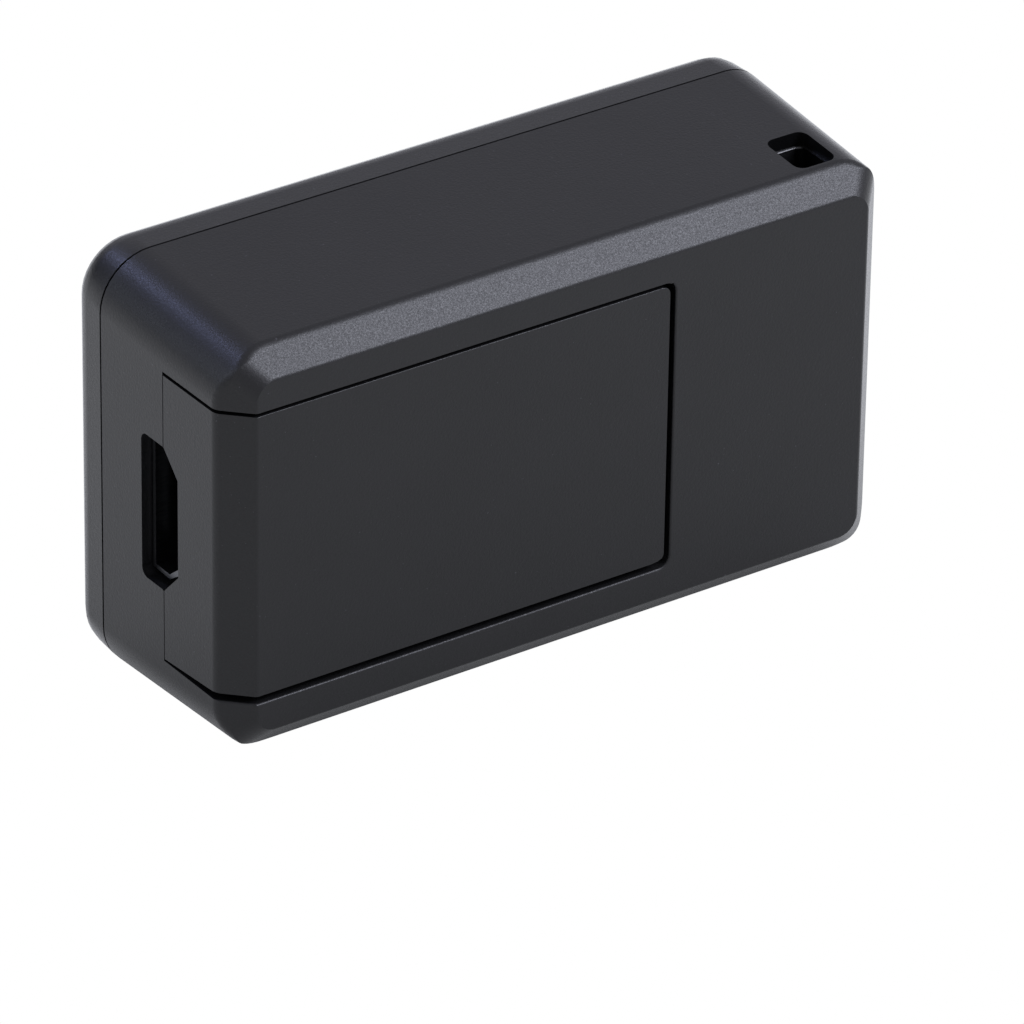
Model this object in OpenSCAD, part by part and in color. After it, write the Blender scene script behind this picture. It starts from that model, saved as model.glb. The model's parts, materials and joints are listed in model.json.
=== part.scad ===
/* [Housing] */
// Length of the body along its front edge, socket end to strap end
body_l = 39.05; // [38.6:0.05:40.4]
// Height of the body at the front, standing on its long narrow side
body_h = 22.5; // [22.1:0.1:23.4]
// Thickness from the card door face to the magnet face
body_t = 14.4; // [14.3:0.05:15]
// Thickness of the back plate that holds the magnets
back_plate_t = 3.05; // [3:0.01:3.1]
// Wall of the moulded housing
wall = 1.5; // [1.4:0.05:1.6]
// Front wall round the card bay
front_wall = 1.3; // [1.2:0.05:1.3]
// Radius of the two upright corners at the socket end, at the seam
plan_r = 2.9; // [2.4:0.1:3.2]
// Radius of the two upright corners at the strap end, at the seam
far_plan_r = 2.5; // [2.2:0.1:3.2]
// How much each long side flares out by the seam
side_flare = 0.57; // [0.1:0.01:0.7]
// How much each end flares out by the seam
end_flare = 0.3; // [0.1:0.05:0.5]
// Depth of the long front chamfers, from the face
side_chamfer_y = 1.27; // [0.8:0.01:1.4]
// Width of the long front chamfers, on the face
side_chamfer_z = 1.38; // [0.8:0.01:1.6]
// Depth of the socket end chamfer, from the face
end_chamfer_y = 1.44; // [0.9:0.02:1.6]
// Width of the socket end chamfer, on the face
end_chamfer_x = 1.5; // [0.8:0.05:1.6]
// Depth of the strap end chamfer, from the face
far_chamfer_y = 1.36; // [0.9:0.02:1.6]
// Width of the strap end chamfer, on the face
far_chamfer_x = 1.35; // [0.8:0.05:1.6]
// Radius of the back edges
back_edge_r = 1.6; // [0.8:0.1:1.9]

/* [Card door] */
// Far edge of the door opening, from the socket end
bay_x = 26.03; // [25.7:0.01:26.3]
// Height of the door opening between its long edges
bay_h = 16.42; // [16.2:0.02:16.5]
// Thickness of the door plate
door_t = 1.2; // [1:0.05:1.25]
// Gap between the door plate and its opening at the far end
door_gap_far = 0.35; // [0.2:0.01:0.4]
// Gap along the lower edge of the door plate
door_gap_low = 0.44; // [0.2:0.02:0.5]
// Gap along the upper edge of the door plate
door_gap_high = 0.2; // [0.1:0.01:0.22]
// How far the door's end flange reaches back over the end wall
flange_y = 5.9; // [5.8:0.02:6.1]
// Thickness of the end flange
flange_t = 0.85; // [0.75:0.05:0.9]

/* [Charging socket] */
// Near edge of the socket opening, cut into the door flange
usb_y_near = 4.67; // [4.6:0.01:4.8]
// Far edge of the socket opening, cut into the end wall
usb_y_far = 7.86; // [7.84:0.01:8]
// Width of the socket opening
usb_open_w = 8.15; // [8:0.05:8.6]
// Width of the narrow side of the socket opening
usb_open_narrow_w = 5.5; // [5.4:0.1:6]
// Outer width of the metal socket shell
usb_shell_w = 7.5; // [7:0.1:7.6]
// Outer height of the metal socket shell
usb_shell_h = 2.65; // [2.4:0.05:2.65]
// Length of the metal socket shell
usb_shell_l = 5; // [4.5:0.1:5.4]

/* [Cards] */
// Length of the phone card
sim_l = 25; // [24.6:0.1:25]
// Width of the phone card
sim_w = 15; // [14.8:0.1:15]
// Thickness of the phone card
sim_t = 0.76; // [0.68:0.02:0.82]
// Length of the memory card
sd_l = 15; // [14.8:0.1:15.2]
// Width of the memory card
sd_w = 11; // [10.9:0.1:11.2]
// Thickness of the memory card
sd_t = 0.7; // [0.6:0.05:0.75]

/* [Board and battery] */
// Thickness of the circuit board
board_t = 0.8; // [0.7:0.05:0.85]
// Thickness of the flat battery cell
cell_t = 3.7; // [3.3:0.05:3.8]

/* [Magnets] */
// Diameter of each magnet disc
magnet_d = 10; // [8:0.5:11]
// Thickness of each magnet disc
magnet_t = 1.9; // [1.5:0.05:1.9]
// Distance between the two magnet centres
magnet_pitch = 17; // [15:0.5:18]

/* [Strap slot] */
// Width of the strap slot along the edge of the body
strap_w = 2.4; // [2:0.1:2.5]
// Depth of the strap slot across the body
strap_y = 3.1; // [2.8:0.05:3.15]
// Distance of the strap slot from the strap end and the top side
strap_edge = 2.15; // [2:0.05:2.3]

/* [Hidden] */

// Overrun of every cut past the face it opens
cut = 1;
// Overlap of joined forms, and thickness of the slices of a stretched form
slice = 0.01;
// Facets of a full round corner in the stretched forms
corner_facets = 40;
// Segments in each rounded corner of a flat outline
arc_steps = 6;
// Slices over the rounded back edges
edge_steps = 5;
// One quarter turn, and the quarter turns at which the corners of an outline start
quarter = 90;
upper_far = 0;
upper_near = 1;
lower_near = 2;
lower_far = 3;
// Facets of small and of large round parts
small_facets = 24;
round_facets = 64;
// How far a chamfer line runs on past both its ends, as a share of its length
overrun_share = 0.5;
// Half of a pitch
half_share = 0.5;
// Gap between parts that slide past each other
slide_gap = 0.1;
// Gap between parts that only sit in one another
seat_gap = 0.15;

// Seam between the housing and the back plate
seam_y = body_t - back_plate_t;
seam_gap = 0.12;
plate_draft = 0.06;
corner_share = 0.84;
front_r_share = 0.92;
least_r = 1.2;
mid_z = body_h / 2;

// Socket end wall: an outer step that the flange lies in, and an inner rib
rib_gap = 0.075;
rib_t = 0.9;
rib_over_card = 0.3;
rib_x = flange_t + rib_gap;
inner_x = rib_x + rib_t;
inner_far = body_l - wall;
inner_top = body_h - wall;
inner_corner = 1;

// Door opening, door plate and flange
bay_side = 0.08;
bay_z_low = mid_z + bay_side - bay_h / 2;
bay_z_high = mid_z + bay_side + bay_h / 2;
door_x = bay_x - door_gap_far;
door_z_low = bay_z_low + door_gap_low;
door_z_high = bay_z_high - door_gap_high;
flange_gap_low = 0.12;
flange_z_low = bay_z_low + flange_gap_low;
flange_gap = 0.06;
bay_corner_r = 0.6;
door_corner_r = 0.45;
gusset = 0.6;
gusset_inset = 0.9;
ledge_reach = 0.83;
ledge_reach_high = 0.51;
ledge_y = front_wall - 0.05;
ledge_t = 0.6;
hook_reach = 0.6;
hook_root = 0.7;
hook_step = 0.17;
hook_t = 0.5;
hook_w_low = 1.1;
hook_w_high = 1.25;
hook_y = front_wall + slide_gap;
hook_z_low = bay_z_low + ledge_reach + slide_gap;
hook_z_high = bay_z_high - ledge_reach_high - slide_gap;

// Card stack, from the door inwards
holder_y = hook_y + hook_t + slide_gap;
deck_t = 0.2;
groove = 0.1;
holder_floor = 0.5;
sd_y = holder_y - seat_gap;
sd_floor = sd_y + sd_t + groove;
sim_y = sd_floor + deck_t + groove;
board_y = sim_y + sim_t + groove + holder_floor;
board_back = board_y + board_t;
rib_y = sim_y + sim_t + rib_over_card;
key_x = 0.45;
key_z = bay_z_low + hook_t;
key_w = 2.9;
key_over_rib = 0.4;
key_y = rib_y + key_over_rib;

// Strap channel at the far top corner
strap_y0 = 1.62;
strap_y1 = strap_y0 + strap_y;
strap_x1 = body_l - strap_edge;
strap_x0 = strap_x1 - strap_w;
strap_z1 = body_h - strap_edge;
strap_z0 = strap_z1 - strap_w;
strap_r = 0.55;
strap_lip = 0.6;
strap_step = 0.14;
strap_wall = 0.8;
boss_x = strap_x0 - strap_wall;
boss_z = strap_z0 - strap_wall;
boss_y = strap_y1 + strap_wall;

// Cards in their places
sd_room = 0.4;
sd_side = 0.7;
sd_x = boss_x - sd_room - sd_l;
sd_z = mid_z + sd_side - sd_w / 2;
sd_ridge_t = 0.3;
sd_ridge_l = 1.3;
sd_ridge_inset = 0.25;
sd_corner_r = 0.5;
sd_notch_x = 4.6;
sd_notch_l = 1.5;
sd_notch_d = 0.65;
sd_notch_out = 0.3;
sd_taper_l = 6.2;
sd_taper_d = 0.65;
sim_side = 0.2;
sim_room = 0.725;
sim_x = rib_x + sim_room;
sim_z = mid_z + sim_side - sim_w / 2;
sim_cut = 3;
sim_corner_r = 1;

// Card holder
thumb_l = 9.35;
holder_x = sim_x + thumb_l;
card_end_gap = 0.3;
holder_end_t = 1.2;
holder_far = sd_x + sd_l + card_end_gap;
holder_end = holder_far + holder_end_t;
holder_low = 8.6;
holder_high = 8.95;
holder_z_low = mid_z - holder_low;
holder_z_high = mid_z + holder_high;
sd_bare_l = 6.2;
window_x = sd_x + sd_bare_l;
sim_rail = 1.15;
window_z_low = sim_z + sim_rail;
window_z_high = sd_z + sd_w + seat_gap;
rail_step = 1.3;
right_rail_x = holder_x + rail_step;
thumb_notch_r = 0.4;
thumb_notch_x = 1.8;
contact_t = 0.15;
contact_w = 0.9;
contact_foot = 1.2;
contact_arm = 2.4;
contact_tip = 0.5;
contact_tip_half = 0.25;
contact_curl = 0.1;
contact_window = 0.3;
contact_rise = 0.38;
sim_pitch = 2.54;
sim_row_near = 12.95;
sim_row_far = 20.55;
sim_rows_x = [sim_x + sim_row_near, sim_x + sim_row_far];
sd_contact_pitch = 1.1;
sd_contact_count = 8;
sd_contact_w = 0.6;
sd_contact_off = 10.3;
sd_contact_x = sd_x + sd_contact_off;
sd_contact_gap = 0.06;
lid_sheet = 0.15;
lid_drop = 0.45;
lid_side = 0.9;
lid_gap = 0.3;

// Socket opening
usb_mid_y = flange_y;
usb_corner_r = 0.45;
usb_wall_inset = 2;
usb_sheet = 0.25;
usb_x = 0.4;
usb_shoulder_share = 0.42;
usb_narrow_share = 0.79;
tongue_mid_share = 0.55;
tongue_t = 0.65;
tongue_w = 4.9;
tongue_x = 1.5;
tongue_back = 1.2;
tongue_y = board_back + usb_shell_h * tongue_mid_share;
pin_count = 5;
pin_pitch = 0.65;
pin_w = 0.32;
pin_t = 0.1;
pin_tip = 0.3;

// Circuit board
board_x = inner_x + seat_gap;
board_end_gap = 1;
board_side_gap = 0.3;
board_far = inner_far - board_end_gap;
board_z_low = wall + board_side_gap;
board_z_high = inner_top - board_side_gap;
board_corner = 0.6;
post_l = 1.6;
post_w = 0.6;
post_inset = 1.6;
via_r = 0.35;

// Parts on the back of the board
shield_x = 14.2;
shield_z = 3.4;
shield_l = 12;
shield_w = 13.4;
shield_t = 1.9;
shield_sheet = 0.2;
shield_hole_r = 0.5;
shield_hole_pitch = 3;
modem_l = 8.4;
modem_w = 8;
modem_t = 1.1;
modem_cut = 0.5;
charger_x = 9.4;
charger_z = 12.2;
charger_l = 2.9;
charger_w = 2.8;
chip_t = 0.9;
chip_lift = 0.12;
chip_leg_t = 0.25;
chip_leg_l = 0.55;
chip_leg_w = 0.35;
charger_legs = 3;
flash_legs = 4;
flash_room = 1.75;
flash_x = shield_x + shield_l + flash_room;
flash_z = 4.4;
flash_l = 5;
flash_w = 6;
crystal_x = 9.6;
crystal_z = 7.2;
crystal_l = 3.2;
crystal_w = 2.5;
crystal_t = 0.75;
crystal_lid = 0.3;
chip_part_l = 1;
chip_part_w = 0.5;
chip_part_t = 0.5;
chip_part_pitch = 1.3;
chip_row_pitch = 2.6;
shield_row = 5;
charger_row = 3;
crystal_row = 3;
coil_row = 4;
coil_l = 2.5;
coil_t = 1.2;
coil_off = 0.4;
coil_x = flash_x + coil_off;
coil_z = 12.6;
tank_l = 3.5;
tank_w = 2.8;
tank_t = 1.9;
tank_x = 9.2;
tank_z = 2.6;
mic_d = 4;
mic_t = 1.5;
mic_x = 4.6;
mic_z = 4.5;
mic_rim = 0.4;
mic_felt = 0.15;
mic_port_r = 0.35;
satellite_l = 1.8;
satellite_w = 4;
satellite_t = 1.2;
satellite_end = 0.2;
satellite_x = board_far - satellite_end - satellite_l;
satellite_room = 0.4;
feed_w = 0.8;
satellite_z = flash_z + flash_w + chip_leg_l + satellite_room + feed_w;
feed_t = 0.3;

// Phone antenna inside the strap end wall, and its spring
rim_t = 0.8;
rim_h = 0.85;
rim_gap = seat_gap;
antenna_t = 0.15;
antenna_rise = 0.9;
antenna_y = board_back + antenna_rise;
antenna_depth = seam_y - rim_h - slide_gap - antenna_y;
antenna_reach = 7;
antenna_z_low = mid_z - antenna_reach;
antenna_z_high = mid_z + antenna_reach;
antenna_track = 0.9;
antenna_pitch = 3.2;
antenna_turns = 4;
spring_w = 1;
spring_t = 0.15;
spring_curl = 0.08;
spring_foot = 1.1;
spring_z = 5;

// Battery, its guard board and leads
sheet_t = 0.35;
sheet_over_x = 1.3;
sheet_over_z = 1;
cell_y = board_back + shield_t + sheet_t;
cell_x = 9.15;
cell_room = 0.3;
cell_far_room = 0.4;
cell_top_room = 0.1;
cell_l = inner_far - rim_gap - rim_t - cell_far_room - cell_x;
cell_z = wall + rim_gap + rim_t + cell_room;
cell_w = inner_top - rim_gap - rim_t - cell_top_room - cell_z;
cell_edge = 0.9;
cell_fold = 0.22;
guard_l = 0.9;
guard_w = 12;
guard_h = 2.6;
guard_lift = 0.4;
guard_y = cell_y + guard_lift;
guard_part = 0.55;
guard_part_w = 1.1;
guard_part_inset = 0.65;
guard_shares = [0.12, 0.3, 0.48];
lead_r = 0.38;
lead_bend = 0.9;
lead_y = guard_y + guard_h / 2;
lead_x = 5.9;
lead_plus_off = 6.95;
lead_minus_off = 5.45;
lead_plus_z = mid_z + lead_plus_off;
lead_minus_z = mid_z + lead_minus_off;
lead_end = cell_x - guard_l;
guard_top = 0.76;
pad_t = seam_y - cell_y - cell_t;
pad_inset = 1.5;

// Back plate
plate_floor = 1;
ring_t = 0.9;
plate_rib_t = 0.8;
magnet_mid_x = body_l / 2;
magnet_gap = 0.1;
magnet_pocket = back_plate_t - seam_gap - plate_floor;
tape_t = seam_gap + magnet_pocket - magnet_t;
tape_end = 4;
tape_w = 6;
tape_r = 1.5;
snap_l = 4;
snap_reach = 0.3;
snap_h = 0.5;
snap_x_shares = [0.25, 0.72];

// The origin is under the middle of the body, on the side it stands on
module placed() {
    translate([-body_l / 2, -body_t / 2, side_flare])
        children();
}

// A box from its lowest to its highest corner
module block(low, high) {
    translate(low)
        cube(high - low);
}

// Points of a quarter round about a centre, from a whole number of quarter turns on
function arc_points(a, b, r, from, steps) = [
    for (i = [0:steps])
        [a + r * cos(quarter * (from + i / steps)), b + r * sin(quarter * (from + i / steps))]];

// Points of a rectangle with rounded corners, anticlockwise
function round_points(x0, x1, z0, z1, r) = concat(
    arc_points(x1 - r, z1 - r, r, upper_far, arc_steps),
    arc_points(x0 + r, z1 - r, r, upper_near, arc_steps),
    arc_points(x0 + r, z0 + r, r, lower_near, arc_steps),
    arc_points(x1 - r, z0 + r, r, lower_far, arc_steps));

// An outline drawn in X and Z, given its depth from y0 to y1
module along_y(y0, y1) {
    translate([0, y1, 0])
        rotate([90, 0, 0])
            linear_extrude(height = y1 - y0)
                children();
}

// An outline drawn in Y and Z, given its length from x0 to x1
module along_x(x0, x1) {
    translate([x0, 0, 0])
        rotate([90, 0, 90])
            linear_extrude(height = x1 - x0)
                children();
}

// An outline drawn in X and Y, given its height from z0 to z1
module along_z(z0, z1) {
    translate([0, 0, z0])
        linear_extrude(height = z1 - z0)
            children();
}

// One slice of a stretched form: four corner discs that lie from y to y plus a slice
module corner_discs(y, x0, x1, z0, z1, r_near, r_far) {
    for (end = [[x0 + r_near, r_near], [x1 - r_far, r_far]])
        for (z = [z0 + end[1], z1 - end[1]])
            translate([end[0], y + slice, z])
                rotate([90, 0, 0])
                    cylinder(r = end[1], h = slice, $fn = corner_facets);
}

// Housing before its chamfers: four leaning round corners and four drafted walls
module drafted_block() {
    side_in = side_flare * side_chamfer_y / (seam_y - side_chamfer_y);
    end_in = end_flare * end_chamfer_y / (seam_y - end_chamfer_y);
    far_in = end_flare * far_chamfer_y / (seam_y - far_chamfer_y);
    hull() {
        corner_discs(0, end_in, body_l - far_in, side_in, body_h - side_in,
            plan_r * front_r_share, far_plan_r * front_r_share);
        corner_discs(seam_y - slice, -end_flare, body_l + end_flare, -side_flare,
            body_h + side_flare, plan_r, far_plan_r);
    }
}

// The drafted outside of the housing with its mitred flat chamfers
module outer_form() {
    over = overrun_share;
    near = -side_chamfer_y * over;
    wide = side_flare + side_chamfer_z + cut;
    back = seam_y + cut;
    intersection() {
        drafted_block();
        along_x(-end_flare - cut, body_l + end_flare + cut)
            polygon([
                [near, side_chamfer_z * (1 + over)], [side_chamfer_y * (1 + over), -side_chamfer_z * over],
                [back, -wide], [back, body_h + wide],
                [side_chamfer_y * (1 + over), body_h + side_chamfer_z * over],
                [near, body_h - side_chamfer_z * (1 + over)]]);
        along_z(-wide, body_h + wide)
            polygon([
                [-end_flare - end_chamfer_x, back],
                [-end_chamfer_x * over, end_chamfer_y * (1 + over)],
                [end_chamfer_x * (1 + over), -end_chamfer_y * over],
                [body_l - far_chamfer_x * (1 + over), -far_chamfer_y * over],
                [body_l + far_chamfer_x * over, far_chamfer_y * (1 + over)],
                [body_l + end_flare + far_chamfer_x, back]]);
    }
}

// The outside of the back plate, seam to magnet face, with its rounded edge
module back_form() {
    start = seam_y + seam_gap;
    round_start = body_t - back_edge_r;
    insets = [for (i = [0:edge_steps]) plate_draft + back_edge_r * (1 - cos(quarter * i / edge_steps))];
    depths = [for (i = [0:edge_steps]) round_start + back_edge_r * sin(quarter * i / edge_steps)];
    hull() {
        corner_discs(start, -end_flare, body_l + end_flare, -side_flare, body_h + side_flare,
            plan_r, far_plan_r);
        for (i = [0:edge_steps])
            corner_discs(depths[i] - slice, insets[i] - end_flare, body_l + end_flare - insets[i],
                insets[i] - side_flare, body_h + side_flare - insets[i],
                max(plan_r - corner_share * insets[i], least_r),
                max(far_plan_r - corner_share * insets[i], least_r));
    }
}

// Outline of the socket opening: round where the end wall has it, sloped in the flange
module usb_opening_wall() {
    polygon(round_points(usb_y_far - usb_wall_inset, usb_y_far,
        mid_z - usb_open_w / 2, mid_z + usb_open_w / 2, usb_corner_r));
}
module usb_opening_slope() {
    low = mid_z - usb_open_w / 2;
    high = mid_z + usb_open_w / 2;
    polygon([
        [usb_y_near, mid_z - usb_open_narrow_w / 2], [usb_mid_y, low], [usb_mid_y + cut, low],
        [usb_mid_y + cut, high], [usb_mid_y, high], [usb_y_near, mid_z + usb_open_narrow_w / 2]]);
}

// Strap channel: in at the top side, round the corner post and out at the strap end
module strap_channel() {
    y0 = strap_y0 + strap_step;
    y1 = strap_y1 - strap_step;
    lip_z = body_h - strap_lip;
    along_z(lip_z, body_h + side_flare + cut)
        polygon(round_points(strap_x0, strap_x1, strap_y0, strap_y1, strap_r));
    along_z(strap_z0, lip_z + slice)
        polygon(round_points(strap_x0 + strap_step, strap_x1 - strap_step, y0, y1,
            strap_r - strap_step));
    along_x(strap_x0 + strap_step, body_l + end_flare + cut)
        polygon(round_points(y0, y1, strap_z0, strap_z1, strap_r - strap_step));
}

// Catches on the rim of the back plate, and the grooves that they spring into
module snap_wedges(grow) {
    y0 = seam_y - rim_h;
    for (share = snap_x_shares)
        along_x(share * body_l - snap_l / 2 - grow, share * body_l + snap_l / 2 + grow) {
            polygon([
                [y0 - grow, wall + rim_gap], [y0 + snap_h + grow, wall + rim_gap],
                [y0 + snap_h / 2 + grow, wall + rim_gap - snap_reach - grow],
                [y0 + snap_h / 2 - grow, wall + rim_gap - snap_reach - grow]]);
            polygon([
                [y0 - grow, inner_top - rim_gap],
                [y0 + snap_h / 2 - grow, inner_top - rim_gap + snap_reach + grow],
                [y0 + snap_h / 2 + grow, inner_top - rim_gap + snap_reach + grow],
                [y0 + snap_h + grow, inner_top - rim_gap]]);
        }
}

// Moulded housing: one open tray with the card bay, socket wall and strap corner
module main_shell() {
    placed()
        color("#2c2c2f")
            difference() {
                union() {
                    difference() {
                        outer_form();
                        along_y(front_wall, seam_y + cut)
                            polygon(round_points(inner_x, inner_far, wall, inner_top, inner_corner));
                    }
                    // Ledges that the door plate rides on
                    for (z = [[wall - slice, bay_z_low + ledge_reach],
                              [bay_z_high - ledge_reach_high, inner_top + slice]])
                        block([inner_x - slice, ledge_y, z[0]], [bay_x, ledge_y + ledge_t, z[1]]);
                    // Solid corner round the strap channel
                    block([boss_x, front_wall - slice, boss_z],
                        [inner_far + slice, boss_y, inner_top + slice]);
                    // Posts that the circuit board seats on
                    for (x = [inner_x + post_inset, inner_far - post_inset - post_l])
                        for (z = [[wall - slice, wall + post_w], [inner_top - post_w, inner_top + slice]])
                            if (!(x > boss_x - post_l && z[0] > mid_z))
                                block([x, front_wall - slice, z[0]], [x + post_l, board_y, z[1]]);
                }
                // Door opening in the front face
                along_y(-cut, front_wall + slice)
                    polygon(round_points(-cut - bay_corner_r, bay_x, bay_z_low, bay_z_high,
                        bay_corner_r));
                // Step in the end wall for the flange, and the lower top of the inner rib
                block([-cut, -cut, bay_z_low], [rib_x, flange_y + flange_gap, bay_z_high]);
                block([rib_x - slice, front_wall, bay_z_low], [inner_x + slice, rib_y, bay_z_high]);
                // Pocket for the key on the inside of the flange
                block([rib_x - slice, key_y - seat_gap, key_z - seat_gap],
                    [rib_x + key_x, flange_y + flange_gap + slice, key_z + key_w + seat_gap]);
                // Socket opening through the wall and the rib
                along_x(-cut, inner_x + cut) {
                    usb_opening_wall();
                    usb_opening_slope();
                }
                strap_channel();
                snap_wedges(slide_gap);
            }
}

// Back plate: a shallow tray with a rim, catches, ribs and two magnet rings
module back_plate() {
    y_in = seam_y + seam_gap;
    floor_y = body_t - plate_floor;
    rim_x0 = inner_x + rim_gap;
    rim_x1 = inner_far - rim_gap;
    rim_z0 = wall + rim_gap;
    rim_z1 = inner_top - rim_gap;
    ring_r = magnet_d / 2 + magnet_gap + ring_t;
    placed()
        color("#2e2d30")
            difference() {
                union() {
                    difference() {
                        back_form();
                        along_y(y_in - cut, floor_y)
                            polygon(round_points(rim_x0 + rim_t, rim_x1 - rim_t,
                                rim_z0 + rim_t, rim_z1 - rim_t, inner_corner));
                    }
                    difference() {
                        along_y(seam_y - rim_h, y_in + slice)
                            polygon(round_points(rim_x0, rim_x1, rim_z0, rim_z1, inner_corner));
                        along_y(seam_y - rim_h - cut, y_in + cut)
                            polygon(round_points(rim_x0 + rim_t, rim_x1 - rim_t,
                                rim_z0 + rim_t, rim_z1 - rim_t, inner_corner));
                    }
                    snap_wedges(0);
                    // Rings round the magnets, and the ribs that tie them to the walls
                    for (side = [-1, 1])
                        magnet_at(side)
                            along_y(y_in + seat_gap, floor_y + slice)
                                circle(r = ring_r, $fn = round_facets);
                    block([rim_x0, y_in + seat_gap, mid_z - plate_rib_t / 2],
                        [rim_x1, floor_y + slice, mid_z + plate_rib_t / 2]);
                    for (side = [-1, 1])
                        block([magnet_mid_x + side * magnet_pitch / 2 - plate_rib_t / 2,
                            y_in + seat_gap, rim_z0],
                            [magnet_mid_x + side * magnet_pitch / 2 + plate_rib_t / 2,
                            floor_y + slice, rim_z1]);
                }
                for (side = [-1, 1])
                    magnet_at(side)
                        along_y(y_in - cut, floor_y)
                            circle(r = magnet_d / 2 + magnet_gap, $fn = round_facets);
            }
}

// Places what it holds on the axis of one magnet
module magnet_at(side) {
    translate([magnet_mid_x + side * magnet_pitch / 2, 0, mid_z])
        children();
}

// Sliding door: flat plate, chamfered end with a flange, gusset, key, and two hooks
module bay_cover() {
    placed()
        color("#2a2a2d") {
            difference() {
                intersection() {
                    outer_form();
                    union() {
                        along_y(-cut, door_t)
                            polygon(round_points(-cut - door_corner_r, door_x, door_z_low,
                                door_z_high, door_corner_r));
                        along_x(-cut, flange_t)
                            polygon([
                                [-cut, door_z_low], [end_chamfer_y, door_z_low],
                                [flange_y, flange_z_low], [flange_y, door_z_high],
                                [-cut, door_z_high]]);
                    }
                }
                along_x(-cut, flange_t + cut)
                    usb_opening_slope();
            }
            // Gusset that stiffens the corner between plate and flange
            along_z(door_z_low + gusset_inset, door_z_high - gusset_inset)
                polygon([
                    [flange_t - slice, door_t - slice], [flange_t + gusset, door_t - slice],
                    [flange_t - slice, door_t + gusset]]);
            // Key that sits in the pocket of the end wall
            block([flange_t - slice, key_y, key_z], [rib_x + key_x - seat_gap, flange_y, key_z + key_w]);
            // Hooks that slip under the front wall
            for (z = [[hook_z_low, hook_z_low + hook_w_low], [hook_z_high - hook_w_high, hook_z_high]])
                along_z(z[0], z[1])
                    polygon([
                        [door_x - hook_root, door_t - slice], [door_x - hook_step, door_t - slice],
                        [door_x - hook_step, hook_y], [door_x + hook_reach, hook_y],
                        [door_x + hook_reach, hook_y + hook_t], [door_x - hook_root, hook_y + hook_t]]);
        }
}

// Circuit board with a notch for the strap corner and the battery pads
module circuit_board() {
    placed()
        color("#1f5a38")
            difference() {
                along_y(board_y, board_back)
                    polygon([
                        [board_x, board_z_low + board_corner], [board_x + board_corner, board_z_low],
                        [board_far - board_corner, board_z_low], [board_far, board_z_low + board_corner],
                        [board_far, boss_z - seat_gap], [boss_x - seat_gap, boss_z - seat_gap],
                        [boss_x - seat_gap, board_z_high], [board_x + board_corner, board_z_high],
                        [board_x, board_z_high - board_corner]]);
                // Tooling holes
                for (hole = [[board_x + post_l, board_z_high - post_l],
                             [board_far - post_l, board_z_low + post_l]])
                    translate([hole[0], board_back + cut, hole[1]])
                        rotate([90, 0, 0])
                            cylinder(r = via_r, h = board_t + cut + cut, $fn = small_facets);
            }
}

// Moulded holder: rails over the phone card, a deck and guides for the memory card
module card_holder() {
    placed()
        color("#1b1b1d")
            difference() {
                block([holder_x, holder_y, holder_z_low], [holder_end, board_y, holder_z_high]);
                // Groove for the phone card
                block([holder_x - cut, sim_y - groove, sim_z - groove],
                    [sim_x + sim_l + seat_gap, board_y - holder_floor, sim_z + sim_w + groove]);
                // Window over the phone card and channel for the memory card
                block([holder_x - cut, holder_y - cut, window_z_low],
                    [window_x, sim_y, window_z_high]);
                block([window_x - slice, holder_y - cut, sd_z - slide_gap],
                    [holder_far, sd_floor, sd_z + sd_w + slide_gap]);
                block([holder_x - cut, holder_y - cut, holder_z_low - cut],
                    [right_rail_x, board_y - holder_floor, window_z_low + slice]);
                // Thumb notch in the inner edge of the left rail
                translate([holder_x + thumb_notch_x, sim_y, window_z_high])
                    rotate([90, 0, 0])
                        cylinder(r = thumb_notch_r, h = sim_y, $fn = small_facets);
                // Windows for the springs
                for (x = sim_rows_x)
                    for (i = [-1:1])
                        spring_window(x, sim_z + sim_w / 2 + i * sim_pitch, contact_w, 0);
                for (i = [0:sd_contact_count - 1])
                    spring_window(sd_contact_x, sd_contact_z(i), sd_contact_w, sim_t);
                // Clearance round the strap corner
                block([boss_x - seat_gap, holder_y - cut, boss_z - seat_gap],
                    [holder_end + cut, board_y + cut, holder_z_high + cut]);
            }
}

function sd_contact_z(i) = sd_z + sd_w / 2 + (i - (sd_contact_count - 1) / 2) * sd_contact_pitch;

// Window in the holder for one spring, from its card to the board
module spring_window(x, z, w, rise) {
    block([x - contact_window, sim_y + contact_rise - rise, z - w / 2 - contact_window / 2],
        [x + contact_foot + contact_arm + contact_window, board_y + cut, z + w / 2 + contact_window / 2]);
}

// One bent contact spring: its foot lies on the board, its tip presses on the card
module contact_spring(x, z, w, tip_y) {
    foot = contact_foot;
    knee = foot + contact_arm - contact_tip - contact_tip;
    tip = foot + contact_arm - contact_tip;
    end = foot + contact_arm;
    along_z(z - w / 2, z + w / 2)
        polygon([
            [x, board_y], [x, board_y - contact_t], [x + foot, board_y - contact_t],
            [x + knee, tip_y + contact_t], [x + tip - contact_tip_half, tip_y],
            [x + tip, tip_y], [x + end, tip_y + contact_t + contact_curl],
            [x + end - contact_t, tip_y + contact_t + contact_t + contact_curl],
            [x + tip - contact_curl, tip_y + contact_t],
            [x + knee, tip_y + contact_t + contact_t + contact_curl], [x + foot, board_y]]);
}

// Phone card with its cut corner, contacts facing the board
module sim_card() {
    x1 = sim_x + sim_l - sim_corner_r;
    z1 = sim_z + sim_w - sim_corner_r;
    r = sim_corner_r;
    placed()
        color("#f2f4f5")
            along_y(sim_y, sim_y + sim_t)
                polygon(concat(
                    [[sim_x + sim_cut, sim_z]], arc_points(x1, sim_z + r, r, lower_far, arc_steps),
                    arc_points(x1, z1, r, upper_far, arc_steps),
                    arc_points(sim_x + r, z1, r, upper_near, arc_steps),
                    [[sim_x, sim_z + sim_cut]]));
}

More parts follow.
